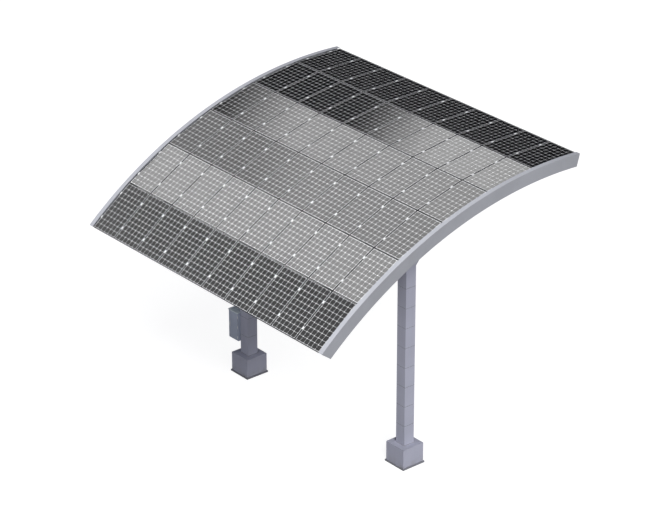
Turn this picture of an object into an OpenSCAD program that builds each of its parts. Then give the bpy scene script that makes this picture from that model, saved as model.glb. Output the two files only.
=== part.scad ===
// Solar carport: two clad posts carry a curved roof of solar modules.
// +X runs along the eaves, +Y points to the high rear edge, +Z is up.
// The origin is on the ground, under the middle of the roof's plan.

/* [Solar modules] */
// Length of one module, up the slope
module_l = 1650; // [1300:10:2000]
// Width of one module, along the eaves
module_w = 992; // [780:1:1200]
// Depth of the module frame
module_t = 40; // [30:1:50]
// Gap between neighbouring modules
module_gap = 20; // [10:1:30]
// Modules side by side in one row
columns = 10; // [4:1:12]
// Width of the frame's top lip over the laminate
frame_lip = 11; // [8:1:15]
// Thickness of the frame's lip and floor flange
frame_skin = 2; // [1.5:0.5:3]
// Thickness of the frame's side wall
frame_wall = 3; // [2:0.5:4]
// Width of the frame's floor flange
frame_foot = 30; // [20:1:40]
// Thickness of the glass and cell laminate
laminate_t = 4.5; // [4:0.5:8]
// Play between the laminate's edge and the frame wall
laminate_play = 0.5; // [0.2:0.1:1.5]

/* [Roof arc] */
// Radius of the arc through the modules' top corners
arc_r = 12830; // [10600:10:16000]
// Slope of the uppermost row of modules, in degrees
top_row_slope = 0; // [0:0.5:4]
// Height of the front eave above the ground
eave_h = 5580; // [4600:10:6800]

/* [Purlins] */
// Height of the purlin tube
purlin_h = 120; // [90:5:160]
// Width of the purlin tube
purlin_w = 60; // [50:5:80]
// Wall of the purlin tube
purlin_wall = 2.5; // [2:0.5:6]
// Distance of a purlin's middle from the end of the module it carries
purlin_inset = 385; // [250:5:500]

/* [Edge channels] */
// Depth of the curved channel along each side of the roof
channel_h = 375; // [320:5:450]
// Width of the channel's flanges
channel_w = 145; // [100:5:200]
// Thickness of the channel's web and flanges
channel_wall = 4; // [3:1:12]
// Height of the channel's top above the arc of the modules
channel_rise = 20; // [10:1:40]
// Gap between the end modules and the channel's flange
channel_gap = 15; // [8:1:25]
// Length by which the channel's lower corners are raked back
channel_rake = 80; // [10:5:120]
// Height of the channel's square end above the rake
channel_nose = 20; // [15:1:60]

/* [Girders] */
// Depth of the curved girder over each post
girder_h = 300; // [240:5:360]
// Width of the girder's flanges
girder_w = 150; // [120:5:300]
// Thickness of the girder's flanges
girder_flange = 11; // [8:1:24]
// Thickness of the girder's web
girder_web = 7; // [5:1:16]
// Distance of the girder's ends from the roof's ends, along the arc
girder_inset = 140; // [80:5:200]
// Gap between the girder and the purlins that lie on it
girder_seat = 0.3; // [0.1:0.1:0.8]
// Distance between the ribs that stiffen the girder's web
rib_pitch = 1200; // [800:50:1600]
// Thickness of a web rib
rib_t = 10; // [8:1:16]

/* [Posts] */
// Distance between the middles of the two posts
post_span = 7060; // [5800:10:8000]
// Distance of the post line in front of the middle of the roof
post_offset = 200; // [0:10:400]
// Side of the square steel tube inside the cladding
tube_w = 330; // [270:5:400]
// Wall of the steel tube
tube_wall = 10; // [6:1:16]
// Thickness of the cladding sleeves on the tube
cladding_t = 12.5; // [8:0.5:20]
// Courses of cladding on one post
cladding_courses = 9; // [5:1:12]
// Open joint between two courses of cladding
cladding_joint = 7; // [3:1:12]

/* [Post heads] */
// Drop from the girder's underside to the foot of the post head
head_drop = 1398; // [1100:10:1700]
// Slope of the post head's flared sides, in degrees
head_slope = 50; // [44:1:56]
// Plate thickness of the post head
head_plate = 5; // [4:1:16]
// Height of the square toes where the flared sides meet the girder
head_toe_h = 30; // [15:1:50]

/* [Footings] */
// Side of the square footing
footing_w = 742; // [600:1:900]
// Height of the footing, with the plinth under it
footing_h = 638; // [500:1:800]
// Distance by which the plinth stands out past the footing's sides
plinth_lip = 28; // [20:1:40]
// Height of the plinth
plinth_h = 50; // [30:5:80]

/* [Cabinet] */
// Width of the electrical cabinet on the left post
cabinet_w = 440; // [350:5:520]
// Height of the cabinet without its hood
cabinet_h = 920; // [760:5:1110]
// Depth of the cabinet behind its door
cabinet_d = 260; // [210:5:300]
// Wall of the cabinet's sheet steel
cabinet_wall = 3; // [2:0.5:4]
// Thickness of the cabinet's front cover
cover_t = 20; // [15:1:25]
// Height of the cabinet's underside above the footing
cabinet_above = 380; // [300:5:460]
// Distance that the cabinet's cover stands in front of the post
cabinet_proud = 80; // [60:5:110]
// Thickness of the hood over the cabinet
hood_t = 20; // [12:1:30]
// Overhang of the hood past the cover and the outer side
hood_lip = 12; // [8:1:20]
// Width of the two rails that hold the cabinet on the post
rail_w = 50; // [30:5:70]
// Thickness of those rails
rail_t = 12; // [6:1:16]
// Distance of a rail's middle from the cabinet's top or underside
rail_inset = 184; // [60:1:220]

/* [Hidden] */

rows = 6;      // rows of modules up the arc, one set of nodes each
cut = 1;       // length by which a cutting body runs past what it cuts
arc_fn = 720;  // facets of a full turn of the roof's arc
sweep_lap = 0.04; // degrees by which two stretches of one sweep overlap
rib_step = 10; // width by which a rib is narrower than its girder's flanges

// The arc of the roof. An angle on it is the slope of its tangent there.
row_pitch = module_l + module_gap;
column_pitch = module_w + module_gap;
row_turn = 2 * asin(row_pitch / 2 / arc_r);
rear_angle = top_row_slope - row_turn / 2;
front_angle = rear_angle + rows * row_turn;
channel_r = arc_r + channel_rise;
arc_y = channel_r * (sin(front_angle) + sin(rear_angle)) / 2;
arc_z = eave_h - arc_r * cos(front_angle);

// Half widths across the roof, from its middle
modules_half = (columns * column_pitch - module_gap) / 2;
channel_in = modules_half + channel_gap;
channel_out = channel_in + channel_w;

// The girders' radii: their top clears the lowest corners of the purlins
purlin_in_row = module_gap / 2 + purlin_inset;
purlin_low = arc_r * cos(row_turn / 2) - module_t - purlin_h;
purlin_corner = row_pitch / 2 - purlin_in_row - purlin_w / 2;
girder_top_r = norm([purlin_low, purlin_corner]) - girder_seat;
girder_low_r = girder_top_r - girder_h;

// The posts, from the ground up
post_x = post_span / 2;
post_y = -post_offset;
post_w = tube_w + 2 * cladding_t;
girder_z = arc_z + sqrt(pow(girder_low_r, 2) - pow(post_y - arc_y, 2));
head_z = girder_z - head_drop;
head_reach = 2 * head_drop; // height of the wedge that a post head is cut from
course_pitch = (head_z - footing_h) / cladding_courses;

// The cabinet stands against the outer face of the left post's cladding
cabinet_x = -post_x - post_w / 2 - rail_t - cabinet_w;
cabinet_y = post_y - post_w / 2 - cabinet_proud;
cabinet_z = footing_h + cabinet_above;

// Angle on the arc at which the head's flared side comes within its toe's
// height of the girder: the side is at -1 at the front and at 1 at the rear.
function head_toe(end) =
    let (
        way = [end * cos(head_slope), sin(head_slope)],
        foot = [post_y + end * post_w / 2 - arc_y, head_z - arc_z],
        r = girder_low_r - girder_seat - head_toe_h,
        b = foot * way,
        p = foot + (sqrt(b * b - foot * foot + r * r) - b) * way
    )
    atan2(-p[0], p[1]);

function arc_point(angle, r) = [arc_y - r * sin(angle), arc_z + r * cos(angle)];
function arc_turn(run) = run / arc_r * 180 / PI;
function arc_run(turn) = turn * arc_r * PI / 180;
function along_arc(angle, run) = angle - arc_turn(run);
function row_start(row) = front_angle - (row - 1) * row_turn;
function row_slope(row) = row_start(row) - row_turn / 2;

// Sweeps a section about the roof's centre, through a list of angles that falls
// towards the rear. In the section x is the radius and y runs across the roof.
// Each stretch but the last laps a little into the next one.
module sweep(angles) {
    last = len(angles) - 1;
    translate([0, arc_y, arc_z])
        rotate([90, 0, 90])
            for (i = [1 : last]) {
                end = angles[i] - (i < last ? sweep_lap : 0);
                rotate_extrude(angle = angles[i - 1] - end, start = 90 + end, $fn = arc_fn)
                    children();
            }
}

// Section of a flat bar that is centred on x, between two radii
module bar(x, w, r_in, r_out)
    translate([r_in, x - w / 2])
        square([r_out - r_in, w]);

// Puts its children into a row: y up the slope from the row's lower seam,
// z square to the modules with 0 at their top face
module in_row(row) {
    corner = arc_point(row_start(row), arc_r);
    translate([0, corner[0], corner[1]])
        rotate([row_slope(row), 0, 0])
            children();
}

// Upright block with a square plan, centred on a post
module square_block(side, w, z, h)
    translate([side * post_x - w / 2, post_y - w / 2, z])
        cube([w, w, h]);

module footing_plinth(side)
    color("dimgray")
        square_block(side, footing_w + 2 * plinth_lip, 0, plinth_h);

module footing(side)
    color("slategray")
        square_block(side, footing_w, plinth_h, footing_h - plinth_h);

// Upright square tube, open at both ends, centred on a post
module square_tube(side, outer, inner, z, h)
    difference() {
        square_block(side, outer, z, h);
        square_block(side, inner, z - cut, h + 2 * cut);
    }

module post_tube(side)
    color("gray")
        square_tube(side, tube_w, tube_w - 2 * tube_wall, footing_h, head_z - footing_h);

module post_cladding(side)
    color("lightslategray")
        for (course = [0 : cladding_courses - 1]) {
            low_joint = course == 0 ? 0 : cladding_joint / 2;
            high_joint = course == cladding_courses - 1 ? 0 : cladding_joint / 2;
            z = footing_h + course * course_pitch + low_joint;
            square_tube(side, post_w, tube_w, z, course_pitch - low_joint - high_joint);
        }

// Flared wedge of a post head, with its sides moved inwards by inset
module head_wedge(side, w, inset, z) {
    half = post_w / 2 - inset / sin(head_slope);
    start = (z - head_z) / tan(head_slope);
    run = head_reach / tan(head_slope);
    translate([side * post_x - w / 2, post_y, 0])
        rotate([90, 0, 90])
            linear_extrude(w)
                polygon([
                    [-half - start, z],
                    [half + start, z],
                    [half + run, head_z + head_reach],
                    [-half - run, head_z + head_reach]
                ]);
}

module post_head(side)
    color("lightslategray")
        difference() {
            r_out = girder_low_r - girder_seat;
            inner_w = post_w - 2 * head_plate;
            tube_in = tube_w - 2 * tube_wall;
            toes = [head_toe(-1), head_toe(1)];
            inset_toes = [along_arc(toes[0], head_plate), along_arc(toes[1], -head_plate)];
            intersection() {
                head_wedge(side, post_w, 0, head_z);
                sweep(toes)
                    bar(side * post_x, post_w, r_out - head_reach, r_out);
            }
            intersection() {
                head_wedge(side, inner_w, head_plate, head_z + head_plate);
                sweep(inset_toes)
                    bar(side * post_x, post_w, r_out - head_reach, r_out - head_plate);
            }
            square_block(side, tube_in, head_z - cut, head_plate + 2 * cut);
        }

// Curved beam of I section, with ribs across its web
module girder(side)
    color("silver") {
        front = along_arc(front_angle, girder_inset);
        rear = along_arc(rear_angle, -girder_inset);
        x = side * post_x;
        sweep([front, 0, rear]) {
            bar(x, girder_w, girder_top_r - girder_flange, girder_top_r);
            bar(x, girder_web, girder_low_r, girder_top_r);
            bar(x, girder_w, girder_low_r, girder_low_r + girder_flange);
        }
        spaces = round((front - rear) / arc_turn(rib_pitch));
        for (rib = [0 : spaces]) {
            start = along_arc(front, rib / spaces * (arc_run(front - rear) - rib_t));
            sweep([start, along_arc(start, rib_t)])
                bar(
                    x,
                    girder_w - rib_step,
                    girder_low_r + girder_flange / 2,
                    girder_top_r - girder_flange / 2
                );
        }
    }

// Cuts the lower corner off one end of a channel. End is -1 at the front and 1
// at the rear. The slanting side of the cut runs past the channel both ways.
module rake_cut(end, angle) {
    top = arc_point(angle, channel_r - channel_nose);
    low = arc_point(along_arc(angle, -end * channel_rake), channel_r - channel_h);
    outside = arc_point(along_arc(angle, end * channel_h), channel_r - 2 * channel_h);
    translate([-channel_out - cut, 0, 0])
        rotate([90, 0, 90])
            linear_extrude(2 * channel_out + 2 * cut)
                polygon([top - (low - top), low + (low - top), outside]);
}

// Curved channel with its web outside and its flanges towards the modules
module edge_channel(side)
    color("darkgray")
        difference() {
            middle = side * (channel_in + channel_out) / 2;
            low_r = channel_r - channel_h;
            low_front = along_arc(front_angle, channel_rake);
            sweep([front_angle, low_front, 0, rear_angle])
                difference() {
                    bar(middle, channel_w, low_r, channel_r);
                    bar(
                        middle - side * channel_wall,
                        channel_w,
                        low_r + channel_wall,
                        channel_r - channel_wall
                    );
                }
            rake_cut(-1, front_angle);
            rake_cut(1, rear_angle);
        }

module purlins(row)
    color("lightgray")
        in_row(row)
            for (y = [purlin_in_row, row_pitch - purlin_in_row]) {
                half = channel_out - channel_wall;
                translate([-half, y - purlin_w / 2, -module_t - purlin_h])
                    difference() {
                        cube([2 * half, purlin_w, purlin_h]);
                        translate([-cut, purlin_wall, purlin_wall])
                            cube([
                                2 * half + 2 * cut,
                                purlin_w - 2 * purlin_wall,
                                purlin_h - 2 * purlin_wall
                            ]);
                    }
            }

// Repeats its children at the lower left corner of each module in a row
module each_module(row)
    in_row(row)
        for (column = [0 : columns - 1])
            translate([column * column_pitch - modules_half, module_gap / 2, 0])
                children();

// Rectangular prism inset from a module's outline, between two heights
module module_slab(inset, low, high)
    translate([inset, inset, low])
        cube([module_w - 2 * inset, module_l - 2 * inset, high - low]);

module module_frames(row)
    color("darkslategray")
        each_module(row)
            difference() {
                slot_low = -frame_skin - laminate_t;
                floor_top = frame_skin - module_t;
                module_slab(0, -module_t, 0);
                module_slab(frame_lip, floor_top, cut);
                module_slab(frame_wall, slot_low, -frame_skin);
                module_slab(frame_wall, floor_top, slot_low - frame_skin);
                module_slab(frame_foot, -module_t - cut, 0);
            }

module laminates(row)
    color("midnightblue")
        each_module(row)
            module_slab(frame_wall + laminate_play, -frame_skin - laminate_t, -frame_skin);

module cabinet_body()
    color("slategray")
        translate([cabinet_x, cabinet_y + cover_t, cabinet_z])
            difference() {
                cube([cabinet_w, cabinet_d, cabinet_h]);
                translate([cabinet_wall, -cut, cabinet_wall])
                    cube([
                        cabinet_w - 2 * cabinet_wall,
                        cabinet_d + cut - cabinet_wall,
                        cabinet_h - 2 * cabinet_wall
                    ]);
            }

module cabinet_cover()
    color("slategray")
        translate([cabinet_x, cabinet_y, cabinet_z])
            cube([cabinet_w, cover_t, cabinet_h]);

module cabinet_hood()
    color("dimgray")
        translate([cabinet_x - hood_lip, cabinet_y - hood_lip, cabinet_z + cabinet_h])
            cube([cabinet_w + hood_lip, cover_t + cabinet_d + hood_lip, hood_t]);

module cabinet_rails()
    color("gray")
        for (height = [rail_inset, cabinet_h - rail_inset])
            translate([
                cabinet_x + cabinet_w,
                post_y - post_w / 2,
                cabinet_z + height - rail_w / 2
            ])
                cube([rail_t, cabinet_y + cover_t + cabinet_d - post_y + post_w / 2, rail_w]);

footing_plinth(-1);  // footing_plinth_left
footing_plinth(1);  // footing_plinth_right
footing(-1);  // footing_left
footing(1);  // footing_right
post_tube(-1);  // post_tube_left
post_tube(1);  // post_tube_right
post_cladding(-1);  // post_cladding_left
post_cladding(1);  // post_cladding_right
post_head(-1);  // post_head_left
post_head(1);  // post_head_right
girder(-1);  // girder_left
girder(1);  // girder_right
edge_channel(-1);  // edge_channel_left
edge_channel(1);  // edge_channel_right
for (row = [1 : rows]) {
    purlins(row);
    module_frames(row);
    laminates(row);
}
cabinet_body();
cabinet_cover();
cabinet_hood();
cabinet_rails();
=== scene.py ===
"""Looks of a solar carport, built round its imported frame.

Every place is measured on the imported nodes: the rows of modules, the girders,
the channels, the posts and the cabinet. Fittings are set out from them, and
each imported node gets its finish. Lengths are in metres, angles in radians.
"""

import logging
import math
from dataclasses import dataclass, field
from enum import Enum

import bmesh
import bpy
import numpy as np
from mathutils import Matrix, Vector


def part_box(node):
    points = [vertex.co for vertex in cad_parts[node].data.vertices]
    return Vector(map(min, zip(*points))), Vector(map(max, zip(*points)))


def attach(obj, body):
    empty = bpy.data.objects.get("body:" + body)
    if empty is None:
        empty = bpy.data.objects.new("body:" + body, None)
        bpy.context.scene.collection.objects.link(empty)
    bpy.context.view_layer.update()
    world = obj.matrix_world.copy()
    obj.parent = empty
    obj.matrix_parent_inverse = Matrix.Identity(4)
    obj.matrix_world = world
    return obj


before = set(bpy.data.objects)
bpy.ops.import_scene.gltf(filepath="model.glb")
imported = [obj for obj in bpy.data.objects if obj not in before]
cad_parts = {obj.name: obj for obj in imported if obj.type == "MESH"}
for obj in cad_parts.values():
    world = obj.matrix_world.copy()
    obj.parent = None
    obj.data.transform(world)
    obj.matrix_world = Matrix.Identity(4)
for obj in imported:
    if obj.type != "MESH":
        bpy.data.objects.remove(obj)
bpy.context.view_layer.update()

ROOT = "root"
ROWS = range(1, 7)
ACROSS = Vector((1, 0, 0))
REARWARD = Vector((0, 1, 0))
UP = Vector((0, 0, 1))
SHARP = math.radians(35)
PLAN_MAP = "cell_plan"

log = logging.getLogger("carport")

Outline = list[tuple[float, float]]
Ring = tuple[Outline, float]
Triple = tuple[float, float, float]
Colour = Triple
Span = tuple[float, float]
Stops = tuple[tuple[float, float], ...]
Socket = bpy.types.NodeSocket


class Side(Enum):
    """The two sides of the carport, by the sign of x."""

    LEFT = -1
    RIGHT = 1

    @property
    def label(self) -> str:
        """The side's name as it stands in node names."""
        return self.name.lower()


class Slot(Enum):
    """The record's material slots."""

    FOOTING = "footing_paint"
    PLINTH = "plinth_paint"
    TUBE = "tube_primer"
    POST = "post_paint"
    GIRDER = "girder_paint"
    CHANNEL = "channel_paint"
    PURLIN = "purlin_zinc"
    MODULE_FRAME = "module_frame"
    LAMINATE = "laminate"
    CABINET = "cabinet_paint"
    CLAMP = "clamp_aluminium"
    FASTENER = "fastener_zinc"
    CELL = "cell_silicon"
    JUNCTION = "junction_plastic"


# ---- Finishes ----


class Recipe:
    """Node tree of one material or world, put together call by call."""

    def __init__(self, owner: bpy.types.Material | bpy.types.World) -> None:
        """Starts with an empty tree.

        Args:
            owner: The material or world that the tree belongs to.
        """
        owner.use_nodes = True
        self.tree = owner.node_tree
        self.tree.nodes.clear()

    def put(self, socket: Socket, value: object) -> None:
        """Links a socket to an input, or sets the input to a plain value.

        Args:
            socket: The input.
            value: The socket that feeds it, or its value.
        """
        if isinstance(value, Socket):
            self.tree.links.new(value, socket)
        else:
            socket.default_value = value

    def add(self, kind: str, inputs: dict | None = None, **settings: object) -> bpy.types.Node:
        """Adds a node.

        Args:
            kind: The node's type.
            inputs: Sockets or plain values for its inputs, by name or number.
            **settings: Values for the node's own properties.

        Returns:
            The new node.
        """
        node = self.tree.nodes.new(kind)
        for key, value in settings.items():
            setattr(node, key, value)
        for key, value in (inputs or {}).items():
            self.put(node.inputs[key], value)
        return node

    def place(self, stretch: Triple = (1, 1, 1)) -> Socket:
        """The surface point in metres, each direction multiplied by a stretch."""
        point = self.add("ShaderNodeTexCoord").outputs["Object"]
        return self.add("ShaderNodeMapping", {"Vector": point, "Scale": stretch}).outputs[0]

    def noise(self, place: Socket, scale: float, detail: float = 3) -> Socket:
        """Soft noise from 0 to 1 with that many waves per metre."""
        inputs = {"Vector": place, "Scale": scale, "Detail": detail}
        return self.add("ShaderNodeTexNoise", inputs).outputs[0]

    def math(self, operation: str, *values: object) -> Socket:
        """One arithmetic step on sockets or numbers."""
        return self.add("ShaderNodeMath", dict(enumerate(values)), operation=operation).outputs[0]

    def times(self, first: object, second: object) -> Socket:
        """The product of two sockets or numbers."""
        return self.math("MULTIPLY", first, second)

    def spread(self, value: Socket, start: float, end: float, low: float, high: float) -> Socket:
        """Maps a value smoothly from one range to another.

        Args:
            value: The value to map.
            start: Value that gives low.
            end: Value that gives high.
            low: Result at the start.
            high: Result at the end.

        Returns:
            The mapped value.
        """
        inputs = {0: value, 1: start, 2: end, 3: low, 4: high}
        return self.add("ShaderNodeMapRange", inputs, interpolation_type="SMOOTHSTEP").outputs[0]

    def mix(self, part: object, first: object, second: object) -> Socket:
        """Blends two colours.

        Args:
            part: How much of the second colour shows, from 0 to 1.
            first: Colour or socket that shows at 0.
            second: Colour or socket that shows at 1.

        Returns:
            The blended colour.
        """
        colours = [c if isinstance(c, Socket) else (*c, 1) for c in (first, second)]
        inputs = {0: part, 6: colours[0], 7: colours[1]}
        return self.add("ShaderNodeMix", inputs, data_type="RGBA").outputs[2]

    def bump(self, height: Socket, depth: float, strength: float) -> Socket:
        """Normal of a surface with that relief, its depth in metres."""
        inputs = {"Height": height, "Distance": depth, "Strength": strength}
        return self.add("ShaderNodeBump", inputs).outputs[0]

    def edges(self, radius: float) -> Socket:
        """How near a point lies to an outer edge.

        Args:
            radius: Reach of the edge in metres.

        Returns:
            A number from 0 on a flat face to 1 on the edge.
        """
        soft = self.add("ShaderNodeBevel", {"Radius": radius}, samples=4).outputs[0]
        inputs = {0: soft, 1: self.true_normal()}
        agree = self.add("ShaderNodeVectorMath", inputs, operation="DOT_PRODUCT").outputs[1]
        return self.spread(agree, 0.995, 0.8, 0, 1)

    def true_normal(self) -> Socket:
        """The face's own normal."""
        return self.add("ShaderNodeNewGeometry").outputs["True Normal"]

    def axis(self, vector: Socket, number: int) -> Socket:
        """One of a vector's three numbers."""
        return self.add("ShaderNodeSeparateXYZ", {0: vector}).outputs[number]


class Coating(Recipe):
    """Recipe of a material that has one main shader."""

    def __init__(self, name: str) -> None:
        """Starts the material.

        Args:
            name: The material's name.
        """
        self.material = bpy.data.materials.new(name)
        super().__init__(self.material)
        self.shader = self.add("ShaderNodeBsdfPrincipled")
        self.add("ShaderNodeOutputMaterial", {0: self.shader.outputs[0]})

    def set(self, **values: object) -> None:
        """Sets or links inputs of the main shader, with _ for a space in a name."""
        for key, value in values.items():
            self.put(self.shader.inputs[key.replace("_", " ")], value)


def shade(colour: Colour, factor: float) -> Colour:
    """The colour, lighter above a factor of 1 and darker below it."""
    return tuple(min(1.0, c * factor) for c in colour)


SOIL: Colour = (0.30, 0.285, 0.26)
FILM: Colour = (0.30, 0.29, 0.27)

# Materials made so far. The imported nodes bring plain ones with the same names.
MIXED: dict[str, bpy.types.Material] = {}


@dataclass(frozen=True)
class Finish:
    """A surface finish. The material is made once for each name."""

    name: str

    def material(self) -> bpy.types.Material:
        """The finish's material, made on first use.

        Returns:
            The material.
        """
        if self.name not in MIXED:
            MIXED[self.name] = self.mixed()
        return MIXED[self.name]

    def mixed(self) -> bpy.types.Material:
        """Makes the material."""
        raise NotImplementedError


@dataclass(frozen=True)
class SatinPaint(Finish):
    """Sprayed satin paint with rain streaks, specks and worn edges."""

    colour: Colour = (0.47, 0.48, 0.54)
    roughness: float = 0.42
    gloss: float = 0.03
    streaks: float = 0.06
    splash_height: float = 0.0
    wear: float = 0.35

    def mixed(self) -> bpy.types.Material:
        """Makes the paint.

        Returns:
            Its material.
        """
        recipe = Coating(self.name)
        place = recipe.place()
        broad = recipe.noise(place, 0.9, 3)
        broad = recipe.spread(broad, 0.3, 0.7, 0, 1)
        colour = recipe.mix(broad, shade(self.colour, 0.96), shade(self.colour, 1.04))
        run = recipe.noise(recipe.place((9, 9, 0.45)), 1.0, 5)
        runs = recipe.spread(run, 0.5, 0.75, 0, self.streaks)
        colour = recipe.mix(runs, colour, shade(self.colour, 0.45))
        speck = recipe.spread(recipe.noise(place, 140, 2), 0.7, 0.78, 0, 0.25)
        colour = recipe.mix(speck, colour, shade(self.colour, 0.8))
        if self.splash_height:
            near = recipe.spread(recipe.axis(place, 2), self.splash_height, 0, 0, 1)
            patch = recipe.spread(recipe.noise(place, 7, 6), 0.35, 0.7, 0.05, 0.4)
            colour = recipe.mix(recipe.times(near, patch), colour, SOIL)
        if self.wear:
            scuff = recipe.spread(recipe.noise(place, 28, 4), 0.45, 0.62, 0, self.wear)
            worn = recipe.times(recipe.edges(0.004), scuff)
            colour = recipe.mix(worn, colour, shade(self.colour, 1.35))
        patchy = recipe.noise(place, 4, 5)
        recipe.set(
            Base_Color=colour,
            Specular_IOR_Level=self.gloss,
            Roughness=recipe.spread(patchy, 0.3, 0.7, self.roughness - 0.06, self.roughness + 0.08),
            Normal=recipe.bump(recipe.noise(place, 420, 2), 0.0002, 0.35),
        )
        return recipe.material


@dataclass(frozen=True)
class GalvanizedZinc(Finish):
    """Dull hot-dip zinc with its crystal pattern."""

    colour: Colour = (0.50, 0.51, 0.53)
    crystal: float = 0.014

    def mixed(self) -> bpy.types.Material:
        """Makes the zinc.

        Returns:
            Its material.
        """
        recipe = Coating(self.name)
        place = recipe.place()
        inputs = {"Vector": place, "Scale": 1 / self.crystal}
        flakes = recipe.add("ShaderNodeTexVoronoi", inputs).outputs["Color"]
        flake = recipe.add("ShaderNodeSeparateColor", {0: flakes}).outputs[0]
        cloud = recipe.spread(recipe.noise(place, 5, 4), 0.35, 0.7, 0, 0.5)
        colour = recipe.mix(flake, shade(self.colour, 0.84), shade(self.colour, 1.12))
        colour = recipe.mix(cloud, colour, shade(self.colour, 0.8))
        recipe.set(
            Base_Color=colour,
            Metallic=0.7,
            Roughness=recipe.spread(flake, 0, 1, 0.36, 0.55),
            Normal=recipe.bump(flake, 0.0001, 0.25),
        )
        return recipe.material


@dataclass(frozen=True)
class DrawnMetal(Finish):
    """Extruded or drawn metal with fine lines along one direction."""

    colour: Colour = (0.8, 0.81, 0.83)
    metallic: float = 0.5
    roughness: float = 0.4
    gloss: float = 0.5
    lines: Triple = (900, 12, 900)

    def mixed(self) -> bpy.types.Material:
        """Makes the metal.

        Returns:
            Its material.
        """
        recipe = Coating(self.name)
        line = recipe.noise(recipe.place(self.lines), 1.0, 2)
        smudge = recipe.noise(recipe.place(), 30, 4)
        colour = recipe.mix(line, shade(self.colour, 0.86), shade(self.colour, 1.1))
        recipe.set(
            Base_Color=colour,
            Metallic=self.metallic,
            Specular_IOR_Level=self.gloss,
            Roughness=recipe.spread(smudge, 0.3, 0.7, self.roughness - 0.07, self.roughness + 0.1),
            Normal=recipe.bump(line, 0.00005, 0.4),
        )
        return recipe.material


@dataclass(frozen=True)
class MouldedPlastic(Finish):
    """Moulded plastic or rubber with a fine eroded texture."""

    colour: Colour = (0.03, 0.03, 0.032)
    roughness: float = 0.5

    def mixed(self) -> bpy.types.Material:
        """Makes the plastic.

        Returns:
            Its material.
        """
        recipe = Coating(self.name)
        place = recipe.place()
        grain = recipe.noise(place, 1400, 2)
        cloud = recipe.noise(place, 12, 3)
        recipe.set(
            Base_Color=recipe.mix(cloud, shade(self.colour, 0.8), shade(self.colour, 1.3)),
            Roughness=recipe.spread(cloud, 0.3, 0.7, self.roughness - 0.08, self.roughness + 0.1),
            Normal=recipe.bump(grain, 0.00008, 0.5),
        )
        return recipe.material


@dataclass(frozen=True)
class UnderGlass(Finish):
    """Something that lies under the modules' polished glass, with a film of dust."""

    colour: Colour = (0.86, 0.87, 0.88)
    dust: float = 0.08

    def tinted(self, recipe: Recipe) -> Socket:
        """The colour under the glass."""
        weave = recipe.noise(recipe.place(), 260, 2)
        return recipe.mix(recipe.spread(weave, 0.4, 0.7, 0, 1), self.colour, shade(self.colour, 0.97))

    def mixed(self) -> bpy.types.Material:
        """Makes the finish, clear and smooth on top and dull underneath.

        Returns:
            Its material.
        """
        recipe = Coating(self.name)
        film = recipe.noise(recipe.place(), 2.2, 5)
        film = recipe.spread(film, 0.35, 0.75, 0, self.dust)
        colour = recipe.mix(film, self.tinted(recipe), FILM)
        below = recipe.math("LESS_THAN", recipe.axis(recipe.true_normal(), 2), 0.1)
        recipe.set(Base_Color=colour, Roughness=recipe.times(below, 0.5), IOR=1.5)
        return recipe.material


@dataclass(frozen=True)
class SiliconCell(UnderGlass):
    """Near-black silicon under glass, with its fine printed fingers."""

    colour: Colour = (0.0016, 0.0018, 0.0026)
    dust: float = 0.004
    finger_pitch: float = 0.0018
    finger_share: float = 0.045
    finger_colour: Colour = (0.02, 0.02, 0.022)

    def tinted(self, recipe: Recipe) -> Socket:
        """The colour of the silicon and its fingers.

        Args:
            recipe: The node tree to add to.

        Returns:
            The colour.
        """
        run = recipe.axis(recipe.add("ShaderNodeUVMap", uv_map=PLAN_MAP).outputs[0], 1)
        wave = recipe.math("FRACT", recipe.math("DIVIDE", run, self.finger_pitch))
        finger = recipe.math("LESS_THAN", wave, self.finger_share)
        grain = recipe.noise(recipe.place(), 1.3, 2)
        colour = recipe.mix(grain, shade(self.colour, 0.7), shade(self.colour, 1.5))
        return recipe.mix(finger, colour, self.finger_colour)


POST_PAINT = SatinPaint("post_paint", colour=(0.468, 0.474, 0.565))
FOOTING_PAINT = SatinPaint(
    "footing_paint", colour=(0.468, 0.474, 0.565), splash_height=0.35, roughness=0.48, wear=0.5
)
PLINTH_PAINT = SatinPaint(
    "plinth_paint", colour=(0.24, 0.245, 0.28), splash_height=0.12, roughness=0.55, wear=0.5
)
GIRDER_PAINT = SatinPaint("girder_paint", colour=(0.44, 0.45, 0.50), streaks=0.03, wear=0.2)
# Painted shade: the channels carry the same paint as the posts; this darker, greyer copy of it stands
# in for shade that the lamps don't give them.
SHADED_CHANNEL_PAINT = SatinPaint("channel_paint", colour=(0.41, 0.418, 0.45), gloss=0.05, streaks=0.04)
CABINET_PAINT = SatinPaint(
    "cabinet_paint", colour=(0.51, 0.56, 0.67), roughness=0.36, streaks=0.05, wear=0.45
)
HOOD_PAINT = SatinPaint("hood_paint", colour=(0.76, 0.84, 0.86), roughness=0.45, wear=0.5)
TUBE_PRIMER = SatinPaint("tube_primer", colour=(0.06, 0.06, 0.07), roughness=0.7, streaks=0, wear=0)
PURLIN_ZINC = GalvanizedZinc("purlin_zinc")
FITTING_ZINC = GalvanizedZinc("fitting_zinc", colour=(0.42, 0.43, 0.45), crystal=0.008)
FASTENER_ZINC = DrawnMetal("fastener_zinc", colour=(0.6, 0.61, 0.63), metallic=0.6, roughness=0.36)
BLACK_ANODIZED = DrawnMetal(
    "black_anodized", colour=(0.012, 0.012, 0.014), metallic=0, roughness=0.45, gloss=0.12,
    lines=(600, 25, 25),
)
CLAMP_ALUMINIUM = DrawnMetal("clamp_aluminium", colour=(0.9, 0.91, 0.93), metallic=0.1, roughness=0.5)
RIBBON_TIN = UnderGlass("ribbon_tin", colour=(0.10, 0.10, 0.11), dust=0.02)
JUNCTION_PLASTIC = MouldedPlastic("junction_plastic")
SEAL_RUBBER = MouldedPlastic("seal_rubber", colour=(0.02, 0.02, 0.022), roughness=0.7)
SEALANT = MouldedPlastic("grey_sealant", colour=(0.30, 0.30, 0.33), roughness=0.6)
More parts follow.
